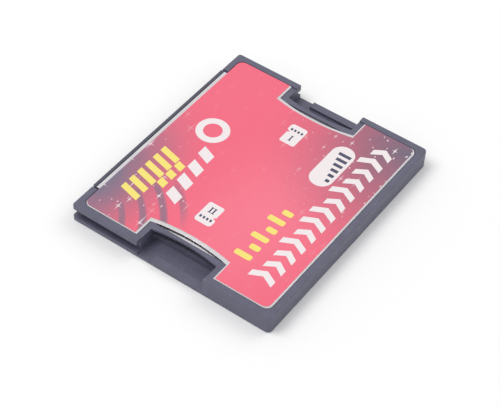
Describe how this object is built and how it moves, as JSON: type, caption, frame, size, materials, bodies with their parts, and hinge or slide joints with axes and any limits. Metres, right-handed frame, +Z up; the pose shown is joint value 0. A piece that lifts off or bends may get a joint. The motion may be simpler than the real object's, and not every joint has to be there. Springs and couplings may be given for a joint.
{
  "type": "memory card adapter",
  "caption": "Flat memory card adapter: black frame, steel covers and red label, a finger-notched card slot in each short side and a two-row contact connector on one edge.",
  "frame": {"origin": "centre of the underside", "axes": "+X along the label's reading direction towards card slot 1, +Y towards the connector edge, +Z up through the label"},
  "size_m": [0.0428, 0.0364, 0.0034],
  "materials": {
    "black_plastic": "black moulded plastic, fine satin grain",
    "connector_plastic": "black moulded connector resin",
    "socket_plastic": "black moulded socket resin",
    "cover_steel": "pressed stainless sheet, bright edges",
    "shell_steel": "plated socket shell",
    "label_film": "glossy printed film, pink-red field",
    "board_laminate": "green solder mask",
    "contact_metal": "gold-plated contact strip",
    "chip_resin": "moulded chip resin",
    "capacitor_body": "fired ceramic",
    "resistor_body": "dark glazed chip"
  },
  "bodies": {
    "root": {"bottom_cover": "cover_steel", "capacitors": "capacitor_body", "circuit_board": "board_laminate", "connector_contacts_lower": "contact_metal", "connector_contacts_upper": "contact_metal", "connector_housing": "connector_plastic", "controller_chip": "chip_resin", "crystal": "cover_steel", "frame": "black_plastic", "label": "label_film", "memory_chip": "chip_resin", "resistors": "resistor_body", "socket_1_body": "socket_plastic", "socket_1_card_switch": "contact_metal", "socket_1_contacts": "contact_metal", "socket_1_shell": "shell_steel", "socket_2_body": "socket_plastic", "socket_2_card_switch": "contact_metal", "socket_2_contacts": "contact_metal", "socket_2_shell": "shell_steel", "top_cover": "cover_steel", "voltage_regulator": "chip_resin"}
  },
  "joints": []
}
